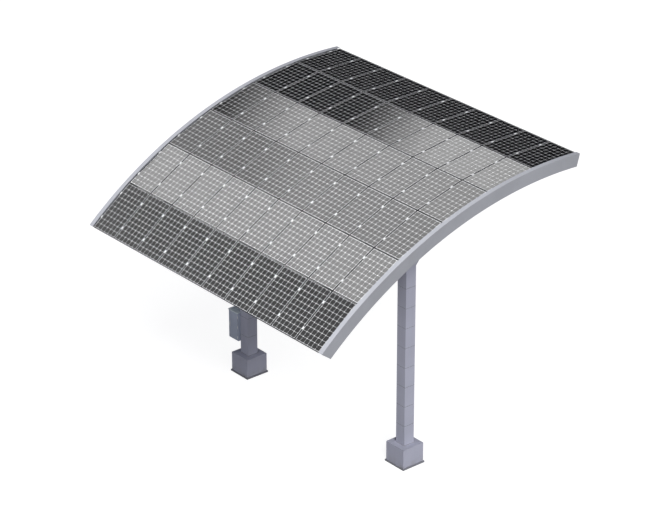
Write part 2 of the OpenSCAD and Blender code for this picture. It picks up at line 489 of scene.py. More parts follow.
BACK_SHEET = UnderGlass("white_back_sheet", colour=(0.80, 0.805, 0.81))
SILICON = SiliconCell("silicon_cell")


# ---- Mesh work ----


def rectangle(width: float, depth: float, corner: float = 0.0) -> Outline:
    """Outline of a rectangle about the middle.

    Args:
        width: Its size along x.
        depth: Its size along y.
        corner: Length cut off each side at each corner, or 0 for square ones.

    Returns:
        Four or eight points, anticlockwise.
    """
    a, b, c = width / 2, depth / 2, corner
    if not corner:
        return [(-a, -b), (a, -b), (a, b), (-a, b)]
    return [
        (-a + c, -b), (a - c, -b), (a, -b + c), (a, b - c),
        (a - c, b), (-a + c, b), (-a, b - c), (-a, -b + c),
    ]


def square(half: float) -> Outline:
    """Outline of a square about the middle, by half its width."""
    return rectangle(2 * half, 2 * half)


def regular(sides: int, radius: float) -> Outline:
    """Outline of a regular polygon about the middle."""
    steps = [2 * math.pi * i / sides for i in range(sides)]
    return [(radius * math.cos(a), radius * math.sin(a)) for a in steps]


def spaced(middle: float, count: int, pitch: float) -> list[float]:
    """Evenly spaced numbers about a middle."""
    return [middle + (i - (count - 1) / 2) * pitch for i in range(count)]


def stand(at: Vector, normal: Vector, along: Vector) -> Matrix:
    """Place of a fitting on a surface.

    Args:
        at: The point it stands on.
        normal: Direction of its own z, out of the surface.
        along: Direction of its own x, as near as the surface allows.

    Returns:
        The matrix from the fitting's own space to the frame's.
    """
    z = normal.normalized()
    x = (along - along.dot(z) * z).normalized()
    turned = Matrix((x, z.cross(x), z)).transposed().to_4x4()
    return Matrix.Translation(at) @ turned


def shifted(place: Matrix, x: float, y: float, z: float) -> Matrix:
    """A place moved along its own directions."""
    return place @ Matrix.Translation((x, y, z))


def wall_places(middle: Vector, half: float, inset: float, heights: list[float]) -> list[Matrix]:
    """Places on the four walls of a square block, near both upright edges of each.

    Args:
        middle: A point on the block's axis.
        half: Half the block's width.
        inset: Distance from an upright edge.
        heights: The places' heights.

    Returns:
        The places, with z out of the wall.
    """
    places = []
    for normal in (ACROSS, -ACROSS, REARWARD, -REARWARD):
        side = UP.cross(normal)
        for z in heights:
            for sign in (-1, 1):
                at = Vector((middle.x, middle.y, z)) + normal * half
                places.append(stand(at + side * sign * (half - inset), normal, side))
    return places


class Solids:
    """Closed solids that are put together in one piece."""

    def __init__(self) -> None:
        """Starts with no solid."""
        self.mesh = bmesh.new()

    def loft(self, rings: list[Ring], place: Matrix, closed: bool = False) -> None:
        """Adds a solid that runs through outlines one after another.

        Args:
            rings: Outlines with equally many points, each with its height.
            place: Matrix from the solid's own space to the frame's.
            closed: Whether the last outline joins the first, as in a ring.
        """
        loops = [
            [self.mesh.verts.new(place @ Vector((x, y, height))) for x, y in outline]
            for outline, height in rings
        ]
        if closed:
            loops.append(loops[0])
        else:
            self.mesh.faces.new(list(reversed(loops[0])))
            self.mesh.faces.new(loops[-1])
        for low, high in zip(loops, loops[1:]):
            for i, j in zip(range(len(low)), [*range(1, len(low)), 0]):
                self.mesh.faces.new((low[i], low[j], high[j], high[i]))

    def block(
        self, size: Triple, place: Matrix, edge: float = 0.001, corner: float = 0.0
    ) -> None:
        """Adds a block with broken edges that stands on its place.

        Args:
            size: Its sizes along x, y and z.
            place: Matrix from the block's own space to the frame's.
            edge: Width of the broken edges at its top and bottom.
            corner: Width of the cut upright corners.
        """
        width, depth, height = size
        corner = corner or edge
        small = rectangle(width - 2 * edge, depth - 2 * edge, corner)
        full = rectangle(width, depth, corner)
        self.loft([(small, 0), (full, edge), (full, height - edge), (small, height)], place)

    def rod(
        self, radius: float, length: float, place: Matrix, sides: int = 14, edge: float = 0.0008
    ) -> None:
        """Adds a round bar with broken ends that stands on its place."""
        small, full = regular(sides, radius - edge), regular(sides, radius)
        self.loft([(small, 0), (full, edge), (full, length - edge), (small, length)], place)

    def bolt(self, place: Matrix, across: float = 0.019, stub: float = 0.0) -> None:
        """Adds a washer with a six-sided head or nut on it.

        Args:
            place: The point on the surface, with z out of it.
            across: Width of the head across its flats.
            stub: Length of thread that stands out past it, or 0.
        """
        washer, radius = across * 0.13, across / math.sqrt(3)
        self.rod(across * 0.68, washer, place, sides=16, edge=washer / 4)
        full, small = regular(6, radius), regular(6, radius * 0.88)
        top = washer + across * 0.6
        head = [(full, washer * 0.9), (full, top - across * 0.09), (small, top)]
        self.loft(head, place)
        if stub:
            lift = shifted(place, 0, 0, top * 0.9)
            self.rod(across * 0.3, stub, lift, sides=10, edge=across * 0.05)

    def piece(self, name: str, finish: Finish, slot: Slot) -> bpy.types.Object:
        """Turns the solids into one piece that rides on the frame.

        Args:
            name: The piece's name.
            finish: Its finish.
            slot: Not used.

        Returns:
            The piece.
        """
        mesh = bpy.data.meshes.new(name)
        self.mesh.normal_update()
        self.mesh.to_mesh(mesh)
        self.mesh.free()
        mesh.shade_smooth()
        mesh.set_sharp_from_angle(angle=SHARP)
        mesh.materials.append(finish.material())
        made = bpy.data.objects.new(name, mesh)
        bpy.context.scene.collection.objects.link(made)
        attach(made, ROOT)
        log.info("%s: %d faces, %s", name, len(mesh.polygons), finish.name)
        return made


def points_of(node: str) -> np.ndarray:
    """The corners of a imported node's mesh, one to a row."""
    return np.array([v.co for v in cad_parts[node].data.vertices])


def clusters(values: np.ndarray, gap: float) -> list[Span]:
    """Splits numbers into groups that lie apart.

    Args:
        values: The numbers.
        gap: Least distance between two groups.

    Returns:
        The lowest and highest number of each group, in rising order.
    """
    ordered = np.sort(values)
    cuts = np.flatnonzero(np.diff(ordered) > gap)
    return [(float(g[0]), float(g[-1])) for g in np.split(ordered, cuts + 1)]


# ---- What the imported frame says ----


@dataclass
class Row:
    """One flat row of modules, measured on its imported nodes.

    A place in the row is x across the roof, run up the slope from the row's
    lower edge, and rise above the top of the module frames.
    """

    number: int
    slope: Vector
    normal: Vector
    origin: Vector
    length: float
    modules: list[Span]
    lip: float
    glass: float
    sheet: float
    purlins: list[Span]
    purlin_low: float
    purlin_high: float

    @classmethod
    def measure(cls, number: int) -> "Row":
        """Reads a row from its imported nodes.

        Args:
            number: The row's number, counted up from the eave.

        Returns:
            The row.
        """
        frames = points_of(f"module_frames_row_{number}")
        flat = frames[:, 1:] - frames[:, 1:].mean(0)
        direction = np.linalg.svd(flat, full_matrices=False)[2][0]
        direction *= np.sign(direction[0])
        slope = Vector((0, *direction))
        normal = ACROSS.cross(slope)
        runs, rises = frames @ np.array(slope), frames @ np.array(normal)
        origin = slope * float(runs.min()) + normal * float(rises.max())
        sheets = points_of(f"laminates_row_{number}")
        edges = clusters(sheets[:, 0], 0.001)
        rim = float(sheets[:, 0].min() - frames[:, 0].min())
        glass = sheets @ np.array(normal) - rises.max()
        lips = np.unique(frames[rises > rises.max() - 0.0001][:, 0].round(4))
        tubes = points_of(f"purlins_row_{number}")
        beam = tubes @ np.array(normal) - rises.max()
        return cls(
            number=number,
            slope=slope,
            normal=normal,
            origin=origin,
            length=float(np.ptp(runs)),
            modules=[(a[0] - rim, b[1] + rim) for a, b in zip(edges[::2], edges[1::2])],
            lip=float(lips[1] - lips[0]),
            glass=float(glass.max()),
            sheet=float(glass.min()),
            purlins=clusters(tubes @ np.array(slope) - runs.min(), 0.2),
            purlin_low=float(beam.min()),
            purlin_high=float(beam.max()),
        )

    def at(self, x: float, run: float, rise: float = 0.0) -> Vector:
        """A point of the row in the frame's space."""
        return self.origin + ACROSS * x + self.slope * run + self.normal * rise

    def place(self, x: float, run: float, rise: float = 0.0) -> Matrix:
        """A place in the row with x across it, y up its slope and z out of it."""
        return stand(self.at(x, run, rise), self.normal, ACROSS)


@dataclass
class Arc:
    """The circle that the roof follows, seen from the side.

    An angle on it is the slope of the roof there, which falls towards the rear.
    """

    y: float
    z: float

    @classmethod
    def through(cls, rows: list[Row]) -> "Arc":
        """Finds the circle's middle, where the rows' middle normals meet.

        Args:
            rows: The rows of modules, from the eave up.

        Returns:
            The circle.
        """
        first, last = rows[0], rows[-1]
        a, b = first.at(0, first.length / 2), last.at(0, last.length / 2)
        sides = np.array([[first.normal.y, -last.normal.y], [first.normal.z, -last.normal.z]])
        reach = np.linalg.solve(sides, np.array([b.y - a.y, b.z - a.z]))[0]
        middle = a + first.normal * float(reach)
        return cls(middle.y, middle.z)

    def at(self, x: float, angle: float, radius: float) -> Vector:
        """The point at an angle and radius."""
        return Vector((x, self.y - radius * math.sin(angle), self.z + radius * math.cos(angle)))

    def place(self, x: float, angle: float, radius: float) -> Matrix:
        """A place on the circle with x across the roof and z away from its middle."""
        out = self.at(0, angle, 1) - self.at(0, angle, 0)
        return stand(self.at(x, angle, radius), out, ACROSS)

    def radii(self, points: np.ndarray) -> np.ndarray:
        """The points' distances from the circle's middle."""
        return np.hypot(points[:, 1] - self.y, points[:, 2] - self.z)

    def angles(self, points: np.ndarray) -> np.ndarray:
        """The points' angles on the circle."""
        return np.arctan2(self.y - points[:, 1], points[:, 2] - self.z)

    def angle_of(self, point: Vector) -> float:
        """A point's angle on the circle."""
        return math.atan2(self.y - point.y, point.z - self.z)


# ---- Roof ----


@dataclass
class ModuleGlazing:
    """The cells, ribbons and glass seals of the modules in one row."""

    row: Row
    cells_across: int = 6
    cells_along: int = 10
    pitch_across: float = 0.1567
    pitch_along: float = 0.1595
    gap: float = 0.0055
    corner: float = 0.015
    cell_lift: float = 0.0003
    sunk: float = 0.0001
    ribbons: int = 3
    ribbon_width: float = 0.0015
    ribbon_lift: float = 0.00045
    ribbon_past: float = 0.004
    end_ribbon: float = 0.003
    seal_tuck: float = 0.0005
    seal_height: float = 0.0009
    seal_beside: float = 0.008
    seal_ends: float = 0.005
    eave_seal_ends: float = 0.009

    def build(self) -> None:
        """Lays the cells, ribbons and seals on all modules of the row."""
        self.lay_cells()
        self.lay_ribbons()
        self.lay_seals()

    def cell_middles(self, module: Span) -> tuple[list[float], list[float]]:
        """The middles of the lines of cells in a module.

        Args:
            module: The module's lowest and highest x.

        Returns:
            The x of each line across, and the run of each line along.
        """
        across = spaced(sum(module) / 2, self.cells_across, self.pitch_across)
        along = spaced(self.row.length / 2, self.cells_along, self.pitch_along)
        return across, along

    def lay_cells(self) -> None:
        """Lays the cells, with their corners cut, a hair above the sheet."""
        solids = Solids()
        outline = rectangle(self.pitch_across - self.gap, self.pitch_along - self.gap, self.corner)
        rings = [(outline, -self.sunk), (outline, self.cell_lift)]
        for module in self.row.modules:
            across, along = self.cell_middles(module)
            for x in across:
                for run in along:
                    solids.loft(rings, self.row.place(x, run, self.row.glass))
        self.write_plan(solids.piece(f"cells_row_{self.row.number}", SILICON, Slot.CELL))

    def write_plan(self, piece: bpy.types.Object) -> None:
        """Gives the cells a map in metres, with its second axis up the slope.

        Args:
            piece: The cells.
        """
        layer = piece.data.uv_layers.new(name=PLAN_MAP)
        points = np.array([v.co for v in piece.data.vertices])
        corners = np.array([loop.vertex_index for loop in piece.data.loops])
        runs = points @ np.array(self.row.slope) - self.row.origin.dot(self.row.slope)
        plan = np.stack([points[:, 0], runs], 1)[corners]
        layer.uv.foreach_set("vector", plan.astype(np.float32).ravel())

    def lay_ribbons(self) -> None:
        """Lays the ribbons that join the cells, and the two that gather them."""
        solids = Solids()
        cell = self.pitch_across - self.gap
        rise = self.row.glass - self.sunk
        height = self.ribbon_lift + self.sunk
        past = self.pitch_along / 2 + self.ribbon_past
        for module in self.row.modules:
            across, along = self.cell_middles(module)
            start, end = along[0] - past, along[-1] + past
            long = rectangle(self.ribbon_width, end - start)
            for line in across:
                for x in spaced(line, self.ribbons, cell / self.ribbons):
                    place = self.row.place(x, (start + end) / 2, rise)
                    solids.loft([(long, 0), (long, height)], place)
            wide = rectangle(across[-1] - across[0] + cell * 0.7, self.end_ribbon)
            for run in (start, end):
                place = self.row.place(sum(module) / 2, run, rise)
                solids.loft([(wide, 0), (wide, height)], place)
        solids.piece(f"ribbons_row_{self.row.number}", RIBBON_TIN, Slot.CELL)

    def lay_seals(self) -> None:
        """Lays the black bead between the lip of each frame and its glass."""
        solids = Solids()
        row, high = self.row, self.seal_height
        ends = self.eave_seal_ends if row.number == 1 else self.seal_ends
        beside = self.seal_beside
        insets = [(-self.seal_tuck,) * 2, (beside * 0.8, ends * 0.8), (beside, ends)]
        for left, right in row.modules:
            lip, crest, foot = (
                rectangle(right - left - 2 * (row.lip + x), row.length - 2 * (row.lip + y))
                for x, y in insets
            )
            rings = [(lip, -self.sunk), (lip, high), (crest, high), (foot, high * 0.3)]
            place = row.place((left + right) / 2, row.length / 2, row.glass)
            solids.loft([*rings, (foot, -self.sunk)], place, closed=True)
        solids.piece(f"glass_seals_row_{row.number}", SEAL_RUBBER, Slot.MODULE_FRAME)


@dataclass
class ModuleClamps:
    """The clamps that hold one row of modules down on its purlins."""

    row: Row
    length: float = 0.080
    width: float = 0.046
    plate: float = 0.004
    rib: Triple = (0.004, 0.078, 0.0015)
    rib_share: float = 0.38
    leg: float = 0.003
    legs_apart: float = 0.013
    depth: float = 0.030
    end_grip: float = 0.020
    end_stand: float = 0.012
    screw: float = 0.0065
    end_screw: float = 0.005
    end_screw_out: float = 0.0045
    slack: float = 0.001
    clamps: Solids = field(init=False)
    bolts: Solids = field(init=False)

    def build(self) -> None:
        """Builds the clamps and their bolts."""
        self.clamps, self.bolts = Solids(), Solids()
        modules = self.row.modules
        for low, high in self.row.purlins:
            run = (low + high) / 2
            for left, right in zip(modules, modules[1:]):
                self.add_middle((left[1] + right[0]) / 2, run)
            self.add_end(modules[0][0], -1, run)
            self.add_end(modules[-1][1], 1, run)
        self.clamps.piece(f"module_clamps_row_{self.row.number}", CLAMP_ALUMINIUM, Slot.CLAMP)
        self.bolts.piece(f"clamp_bolts_row_{self.row.number}", FASTENER_ZINC, Slot.FASTENER)

    def add_middle(self, x: float, run: float) -> None:
        """Adds a clamp between two modules.

        Args:
            x: Middle of the seam between the modules.
            run: Middle of the purlin.
        """
        place, block = self.row.place, self.clamps.block
        block((self.width, self.length, self.plate), place(x, run, 0), edge=0.0008)
        for side in (-1, 1):
            rib = place(x + side * self.width * self.rib_share, run, self.plate * 0.95)
            block(self.rib, rib, edge=0.0004)
            leg = place(x + side * self.legs_apart / 2, run, -self.depth)
            block((self.leg, self.length, self.depth + 0.0005), leg, edge=0.0004)
        block((self.legs_apart, self.length, self.leg), place(x, run, -self.depth), edge=0.0004)
        self.add_screw(x, run, self.screw)

    def add_end(self, edge: float, side: int, run: float) -> None:
        """Adds a clamp at the outer edge of the row's end module.

        Args:
            edge: The module's outer edge.
            side: -1 for the left end of the row, 1 for the right one.
            run: Middle of the purlin.
        """
        inner, outer = edge - side * self.end_grip, edge + side * self.end_stand
        top = self.row.place((inner + outer) / 2, run, 0)
        width = self.end_grip + self.end_stand
        self.clamps.block((width, self.length, self.plate), top, edge=0.0008)
        tall = (self.leg, self.length, self.slack - self.row.purlin_high)
        for x in (outer - side * self.leg / 2, edge + side * (self.slack + self.leg / 2)):
            self.clamps.block(tall, self.row.place(x, run, self.row.purlin_high), edge=0.0005)
        self.add_screw(edge + side * self.end_screw_out, run, self.end_screw)

    def add_screw(self, x: float, run: float, radius: float) -> None:
        """Adds a socket screw on its washer.

        Args:
            x: The screw's place across the roof.
            run: Its place up the row.
            radius: Radius of its head.
        """
        place = self.row.place(x, run, self.plate)
        self.bolts.rod(radius * 1.25, 0.0015, place, sides=16, edge=0.0003)
        outer, rim, socket = (regular(12, radius * part) for part in (1, 0.86, 0.5))
        top = radius * 1.25
        head = [(outer, 0.0012), (outer, radius * 1.1), (rim, top), (socket, top)]
        self.bolts.loft([*head, (socket, radius * 0.6)], place)


@dataclass
class JunctionBoxes:
    """The junction box under each module of one row."""

    row: Row
    size: Triple = (0.124, 0.092, 0.021)
    from_top: float = 0.115
    flange: float = 0.003
    flange_margin: float = 0.006
    box_share: float = 0.7
    ribs: int = 5
    rib_pitch: float = 0.018
    gland_radius: float = 0.0075

    def build(self) -> None:
        """Builds the boxes with their lids, ribs and glands."""
        solids = Solids()
        width, depth, height = self.size
        parting, sheet = height * self.box_share, self.row.sheet
        for module in self.row.modules:
            x, run = sum(module) / 2, self.row.length - self.from_top
            down = stand(self.row.at(x, run, sheet), -self.row.normal, ACROSS)
            for more, tall, edge, corner in (
                (2 * self.flange_margin, self.flange, 0.001, 0.008), (0, parting, 0.0015, 0.006)
            ):
                solids.block((width + more, depth + more, tall), down, edge=edge, corner=corner)
            lid = (width - self.flange_margin, depth - self.flange_margin, height - parting)
            solids.block(lid, shifted(down, 0, 0, parting), edge=0.002, corner=0.006)
            for along in spaced(0, self.ribs, self.rib_pitch):
                rib = shifted(down, along, 0, height - 0.0005)
                solids.block((0.003, depth * 0.6, 0.0018), rib, edge=0.0006)
            for side in (-1, 1):
                clip = shifted(down, side * width * 0.5, 0, height * 0.4)
                solids.block((0.004, 0.018, 0.009), clip, edge=0.0008)
                start = self.row.at(x + side * width * 0.3, run - depth / 2, sheet - height * 0.4)
                gland = stand(start, -self.row.slope, ACROSS)
                for part, length, sides in ((1, 0.010, 6), (0.75, 0.020, 14), (0.42, 0.027, 12)):
                    solids.rod(self.gland_radius * part, length, gland, sides=sides)
        solids.piece(f"junction_boxes_row_{self.row.number}", JUNCTION_PLASTIC, Slot.JUNCTION)


@dataclass
class Girder:
    """One curved girder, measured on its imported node."""

    side: Side
    arc: Arc
    x: float = field(init=False)
    half_width: float = field(init=False)
    half_web: float = field(init=False)
    top: float = field(init=False)
    low: float = field(init=False)
    flange: float = field(init=False)
    ribs: list[float] = field(init=False)

    def __post_init__(self) -> None:
        """Reads the girder's section and its ribs."""
        points = points_of(f"girder_{self.side.label}")
        radii, angles = self.arc.radii(points), self.arc.angles(points)
        self.x = float((points[:, 0].min() + points[:, 0].max()) / 2)
        off = np.abs(points[:, 0] - self.x)
        self.half_width, self.half_web = float(off.max()), float(off.min())
        self.top, self.low = float(radii.max()), float(radii.min())
        edge = radii[off > self.half_width - 0.001]
        levels = clusters(edge[edge < (self.top + self.low) / 2], 0.003)
        self.flange = levels[-1][1] - self.low
        on_rib = (off > self.half_web + 0.01) & (off < self.half_width - 0.002)
        self.ribs = [sum(g) / 2 for g in clusters(angles[on_rib], 0.02)]


@dataclass
class PurlinCleats:
    """The angle cleats that bolt the purlins to one girder."""

    girder: Girder
    rows: list[Row]
    width: float = 0.130
    reach: float = 0.070
    height: float = 0.095
    thickness: float = 0.007
    bolts_apart: float = 0.080

    def build(self) -> None:
        """Builds the cleats and bolts of all purlins."""
        cleats, bolts = Solids(), Solids()
        for row in self.rows:
            for pair in row.purlins:
                for face, way in zip(pair, (-1, 1)):
                    self.add(cleats, bolts, row, face, way)
        label = self.girder.side.label
        cleats.piece(f"purlin_cleats_{label}", FITTING_ZINC, Slot.PURLIN)
        bolts.piece(f"cleat_bolts_{label}", FASTENER_ZINC, Slot.FASTENER)

    def add(self, cleats: Solids, bolts: Solids, row: Row, face: float, way: int) -> None:
        """Adds one cleat.

        Args:
            cleats: Takes the cleat.
            bolts: Takes its bolts.
            row: The purlin's row.
            face: Run of the purlin's face that the cleat lies on.
            way: -1 for the face towards the eave, 1 for the other one.
        """
        x, thick, arc = self.girder.x, self.thickness, self.girder.arc
        upright = row.place(x, face + way * thick / 2, row.purlin_low)
        cleats.block((self.width, thick, self.height), upright, edge=0.0015)
        middle = row.at(x, face + way * self.reach / 2, row.purlin_low)
        foot = arc.place(x, arc.angle_of(middle), self.girder.top)
        cleats.block((self.width, self.reach, thick), foot, edge=0.0015)
        outward = row.slope * way
        for shift in (-self.bolts_apart / 2, self.bolts_apart / 2):
            at = row.at(x + shift, face + way * thick, row.purlin_low + self.height * 0.62)
            bolts.bolt(stand(at, outward, ACROSS))
            bolts.bolt(shifted(foot, shift, way * 0.012, thick))
            under = arc.at(x + shift, arc.angle_of(middle), self.girder.top - self.girder.flange)
            bolts.bolt(stand(under, -row.normal, ACROSS), stub=0.012)


@dataclass
class ChannelFittings:
    """Cleats, stiffeners and end plates inside one edge channel."""

    side: Side
    arc: Arc
    rows: list[Row]
    leg: float = 0.070
    height: float = 0.104
    thickness: float = 0.006
    plate: float = 0.005
    wall: float = 0.004
    end_run: float = 0.095
    bolt_across: float = 0.017
    bolt_steps: Span = (0.26, 0.74)
    inner: float = field(init=False)
    web: float = field(init=False)
    top: float = field(init=False)
    low: float = field(init=False)
    front: float = field(init=False)
    rear: float = field(init=False)

    def build(self) -> None:
        """Measures the channel and builds all that is inside it."""
        points = points_of(f"edge_channel_{self.side.label}")
        far = np.abs(points[:, 0])
        self.inner, self.web = float(far.min()), float(far.max()) - self.wall
        radii, angles = self.arc.radii(points), self.arc.angles(points)
        self.top, self.low = float(radii.max()) - self.wall, float(radii.min()) + self.wall
        self.front, self.rear = float(angles.max()), float(angles.min())
        self.build_cleats()
        self.build_plates()

    def build_cleats(self) -> None:
        """Builds the cleats that hold the purlins' ends, with their bolts."""
        cleats, bolts = Solids(), Solids()
        sign, thick, leg = self.side.value, self.thickness, self.leg
        for row in self.rows:
            middle = (row.purlin_low + row.purlin_high - self.height) / 2
            for pair in row.purlins:
                for face, way in zip(pair, (-1, 1)):
                    for wide, long in ((leg, thick), (thick, leg)):
                        x = sign * (self.web - wide / 2)
                        place = row.place(x, face + way * long / 2, middle)
                        cleats.block((wide, long, self.height), place)
                    for step in self.bolt_steps:
                        rise = middle + self.height * step
                        at = row.at(sign * (self.web - leg * 0.6), face + way * thick, rise)
                        bolts.bolt(stand(at, row.slope * way, ACROSS), across=self.bolt_across)
                        at = row.at(sign * (self.web - thick), face + way * leg * 0.6, rise)
                        bolts.bolt(stand(at, ACROSS * -sign, row.slope), across=self.bolt_across)
        cleats.piece(f"channel_cleats_{self.side.label}", FITTING_ZINC, Slot.PURLIN)
        bolts.piece(f"channel_bolts_{self.side.label}", FASTENER_ZINC, Slot.FASTENER)

    def build_plates(self) -> None:
        """Builds the stiffeners at the rows' seams and the two end plates."""
        plates = Solids()
        spots = [
            self.arc.angle_of((a.at(0, a.length) + b.at(0, 0)) / 2)
            for a, b in zip(self.rows, self.rows[1:])
        ]
        inward = self.end_run / self.top
        depth = self.top - self.low
        width = self.web - self.inner - self.wall
        x = self.side.value * (self.web - width / 2)
        for angle in (self.front - inward, *spots, self.rear + inward):
            place = self.arc.place(x, angle, self.low)
            plates.block((width, self.plate, depth), place, edge=0.0008, corner=0.0012)
        plates.piece(f"channel_plates_{self.side.label}", SHADED_CHANNEL_PAINT, Slot.CHANNEL)


@dataclass
class GirderFittings:
    """The splice in one girder and the bolts that hold it to its post head."""

    girder: Girder
    splice_between: tuple[int, int] = (1, 2)
    splice: Triple = (0.008, 0.32, 0.22)
    flange_plate: Triple = (0.140, 0.34, 0.010)
    bolt_rows: int = 4
    row_share: float = 1 / 4.6
    seat_bolts: int = 7
    seat_across: float = 0.024

    def build(self) -> None:
        """Builds the splice plates and all bolts."""
        plates, bolts = Solids(), Solids()
        self.add_splice(plates, bolts)
        self.add_seat(bolts)
        label = self.girder.side.label
        plates.piece(f"girder_splice_{label}", GIRDER_PAINT, Slot.GIRDER)
        bolts.piece(f"girder_bolts_{label}", FASTENER_ZINC, Slot.FASTENER)

    def add_splice(self, plates: Solids, bolts: Solids) -> None:
        """Adds the web plates and the lower flange's plate.

        Args:
            plates: Takes the plates.
            bolts: Takes their bolts.
        """
        girder, arc = self.girder, self.girder.arc
        first, second = self.splice_between
        angle = (girder.ribs[first] + girder.ribs[second]) / 2
        thick, length, height = self.splice
        middle = (girder.top + girder.low) / 2
        for sign in (-1, 1):
            x = girder.x + sign * (girder.half_web + thick / 2)
            place = arc.place(x, angle, middle - height / 2)
            plates.block(self.splice, place, edge=0.0015)
            face = arc.place(girder.x + sign * (girder.half_web + thick), angle, middle)
            along, out = face.to_3x3().col[1], face.to_3x3().col[2]
            for i in spaced(0, self.bolt_rows, length * self.row_share):
                for j in spaced(0, 3, height / 3):
                    bolts.bolt(stand(face.translation + along * i + out * j, ACROSS * sign, along))
        width, length, thick = self.flange_plate
        below = arc.place(girder.x, angle, girder.low)
        plates.block((width, length, thick), shifted(below, 0, 0, -thick), edge=0.0015)
        for i in spaced(0, self.bolt_rows, length * self.row_share):
            for x in (-width * 0.33, width * 0.33):
                at = below @ Vector((x, i, -thick))
                bolts.bolt(stand(at, -below.to_3x3().col[2], ACROSS), stub=0.010)

    def add_seat(self, bolts: Solids) -> None:
        """Adds the bolts that go through the lower flange into the post head.

        Args:
            bolts: Takes the bolts.
        """
        girder, arc = self.girder, self.girder.arc
        head = points_of(f"post_head_{girder.side.label}")
        near = arc.radii(head) > girder.low - 0.02
        angles = arc.angles(head)[near]
        start, end = float(angles.min()), float(angles.max())
        for i in range(self.seat_bolts):
            angle = start + (end - start) * (i + 0.5) / self.seat_bolts
            if min(abs(angle - rib) for rib in girder.ribs) < 0.003:
                angle += 0.005
            for sign in (-1, 1):
                x = girder.x + sign * girder.half_width * 0.6
                seat = arc.place(x, angle, girder.low + girder.flange)
                bolts.bolt(seat, across=self.seat_across, stub=0.010)


# ---- Posts, footings and cabinet ----


@dataclass
class PostFittings:
    """Screws and joint seals of one post's cladding, and the bead at its foot."""

    side: Side
    screw_radius: float = 0.006
    screw_height: float = 0.0022
    screw_sunk: float = 0.0002
    from_edge: float = 0.036
    from_joint: float = 0.045
    seal_depth: float = 0.0012
    seal_reach: float = 0.012
    bead: float = 0.010
    half: float = field(init=False)
    foot: Vector = field(init=False)
    courses: list[Span] = field(init=False)

    def build(self) -> None:
        """Measures the cladding and builds the screws, the seals and the bead."""
        node = f"post_cladding_{self.side.label}"
        low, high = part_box(node)
        self.half = (high.x - low.x) / 2
        self.foot = Vector(((low.x + high.x) / 2, (low.y + high.y) / 2, low.z))
        levels = sorted({round(float(z), 4) for z in points_of(node)[:, 2]})
        self.courses = list(zip(levels[::2], levels[1::2]))
        self.build_screws()
        self.build_seals()
        self.build_bead()

    def build_screws(self) -> None:
        """Builds the screws near the top and bottom of each course."""
        screws = Solids()
        heights = [z for a, b in self.courses for z in (a + self.from_joint, b - self.from_joint)]
        radius, height = self.screw_radius, self.screw_height
        parts = ((0.92, 0.6), (0.62, 1), (0.34, 1), (0.34, 0.4))
        rings = [(regular(12, radius), -self.screw_sunk)]
        rings += [(regular(12, radius * part), height * rise) for part, rise in parts]
        for place in wall_places(self.foot, self.half, self.from_edge, heights):
            screws.loft(rings, place)
        screws.piece(f"cladding_screws_{self.side.label}", FASTENER_ZINC, Slot.FASTENER)

    def build_seals(self) -> None:
        """Builds the dark seals that lie in the joints between the courses."""
        seals = Solids()
        outer, inner = (square(self.half - depth) for depth in (self.seal_depth, self.seal_reach))
        for (_, low), (high, _) in zip(self.courses, self.courses[1:]):
            tall = high - low - 0.0002
            base = Matrix.Translation((self.foot.x, self.foot.y, low + 0.0001))
            seals.loft([(outer, 0), (outer, tall), (inner, tall), (inner, 0)], base, closed=True)
        seals.piece(f"joint_seals_{self.side.label}", SEAL_RUBBER, Slot.TUBE)

    def build_bead(self) -> None:
        """Builds the bead of sealant round the post's foot."""
        bead, size, half = Solids(), self.bead, self.half
        profile = [(size, 0.0), (size * 0.75, size * 0.3), (size * 0.3, size * 0.75), (0.0005, size)]
        profile += [(-0.0005, size), (-0.0005, 0.0)]
        rings = [(square(half + out), rise) for out, rise in profile]
        bead.loft(rings, Matrix.Translation(self.foot), closed=True)
        bead.piece(f"foot_sealant_{self.side.label}", SEALANT, Slot.POST)


@dataclass
class FootingFittings:
    """Fixings of one footing's facing, with capped lifting sockets on its top."""

    side: Side
    screw_radius: float = 0.008
    from_corner: float = 0.070
    from_foot: float = 0.055
    cap_radius: float = 0.024
    cap_share: float = 0.78

    def build(self) -> None:
        """Builds the screws and caps."""
        low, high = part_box(f"footing_{self.side.label}")
        middle, half = (low + high) / 2, (high.x - low.x) / 2
        screws, caps = Solids(), Solids()
        heights = [low.z + self.from_foot, high.z - self.from_foot]
        for place in wall_places(middle, half, self.from_corner, heights):
            screws.rod(self.screw_radius, 0.003, place, sides=12)
        parts = ((1, -0.0005), (1, 0.0025), (0.9, 0.004), (0.3, 0.0046))
        rings = [(regular(24, self.cap_radius * part), rise) for part, rise in parts]
        out = half * self.cap_share
        for x, y in ((-out, -out), (-out, out), (out, -out), (out, out)):
            at = Vector((middle.x + x, middle.y + y, high.z))
            caps.loft(rings, Matrix.Translation(at))
        screws.piece(f"footing_screws_{self.side.label}", FOOTING_PAINT, Slot.FOOTING)
        caps.piece(f"footing_caps_{self.side.label}", FOOTING_PAINT, Slot.FOOTING)


